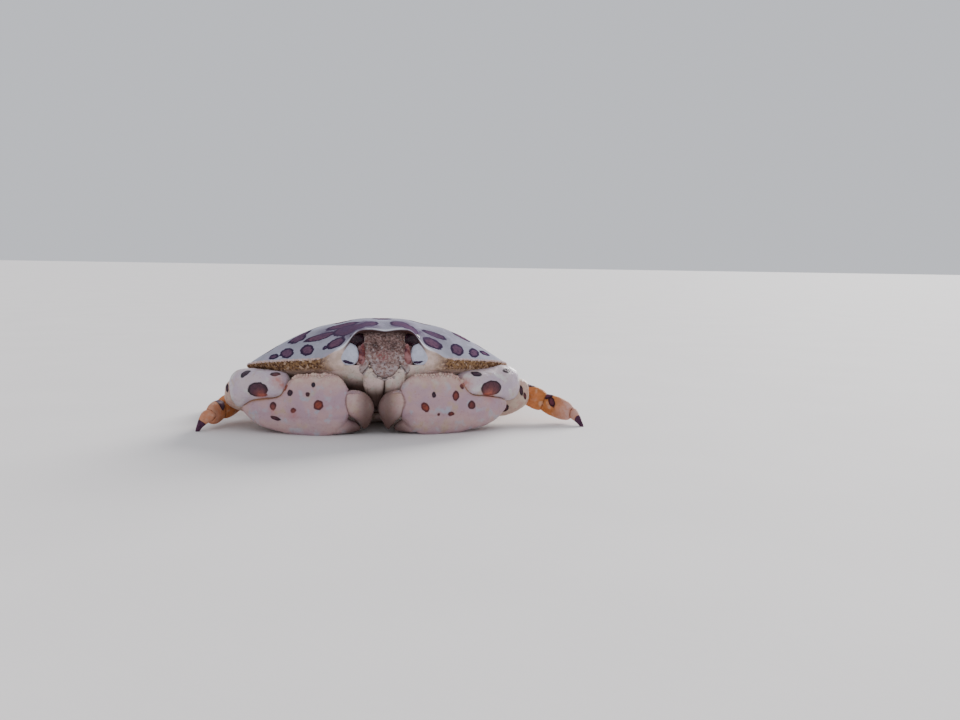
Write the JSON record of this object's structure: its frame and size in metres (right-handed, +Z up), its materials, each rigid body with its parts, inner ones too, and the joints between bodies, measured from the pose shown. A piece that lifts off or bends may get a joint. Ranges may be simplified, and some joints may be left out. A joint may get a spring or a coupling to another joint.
{
  "type": "calico box crab",
  "caption": "Life-size still model of a calico box crab crouched on the floor, claws folded flat against its face under a domed spotted shell.",
  "frame": {"origin": "on the floor plane, at the middle of the whole animal's length and width", "axes": "+Z up, +X towards the crab's own left side (its width), -Y the way the crab faces"},
  "size_m": [0.0933, 0.0617, 0.0263],
  "materials": {
    "shell": "grey-cream shell with large dark purple-brown blotches, satin with a wet gloss",
    "underside": "cream to tan underside shell, fine grained, satin",
    "claw": "pinkish cream claw shell with purple-brown and brick-red spots, smooth satin",
    "leg": "orange-tan leg shell banded dark purple at the joints, satin",
    "eye": "near-black eye, wet gloss",
    "feeler": "reddish brown feeler, matt"
  },
  "bodies": {
    "root": {"abdomen": "underside", "antenna_left": "feeler", "antenna_right": "feeler", "carapace": "shell", "claw_arm_left": "claw", "claw_arm_right": "claw", "claw_finger_left": "claw", "claw_finger_right": "claw", "claw_palm_left": "claw", "claw_palm_right": "claw", "claw_wrist_left": "claw", "claw_wrist_right": "claw", "eye_left": "eye", "eye_right": "eye", "leg1_left_carpus": "leg", "leg1_left_coxa": "underside", "leg1_left_dactyl": "leg", "leg1_left_merus": "leg", "leg1_left_propodus": "leg", "leg1_right_carpus": "leg", "leg1_right_coxa": "underside", "leg1_right_dactyl": "leg", "leg1_right_merus": "leg", "leg1_right_propodus": "leg", "leg2_left_carpus": "leg", "leg2_left_coxa": "underside", "leg2_left_dactyl": "leg", "leg2_left_merus": "leg", "leg2_left_propodus": "leg", "leg2_right_carpus": "leg", "leg2_right_coxa": "underside", "leg2_right_dactyl": "leg", "leg2_right_merus": "leg", "leg2_right_propodus": "leg", "leg3_left_carpus": "leg", "leg3_left_coxa": "underside", "leg3_left_dactyl": "leg", "leg3_left_merus": "leg", "leg3_left_propodus": "leg", "leg3_right_carpus": "leg", "leg3_right_coxa": "underside", "leg3_right_dactyl": "leg", "leg3_right_merus": "leg", "leg3_right_propodus": "leg", "leg4_left_carpus": "leg", "leg4_left_coxa": "underside", "leg4_left_dactyl": "leg", "leg4_left_merus": "leg", "leg4_left_propodus": "leg", "leg4_right_carpus": "leg", "leg4_right_coxa": "underside", "leg4_right_dactyl": "leg", "leg4_right_merus": "leg", "leg4_right_propodus": "leg", "mouthpart_left": "underside", "mouthpart_right": "underside", "thorax": "underside"}
  },
  "joints": []
}
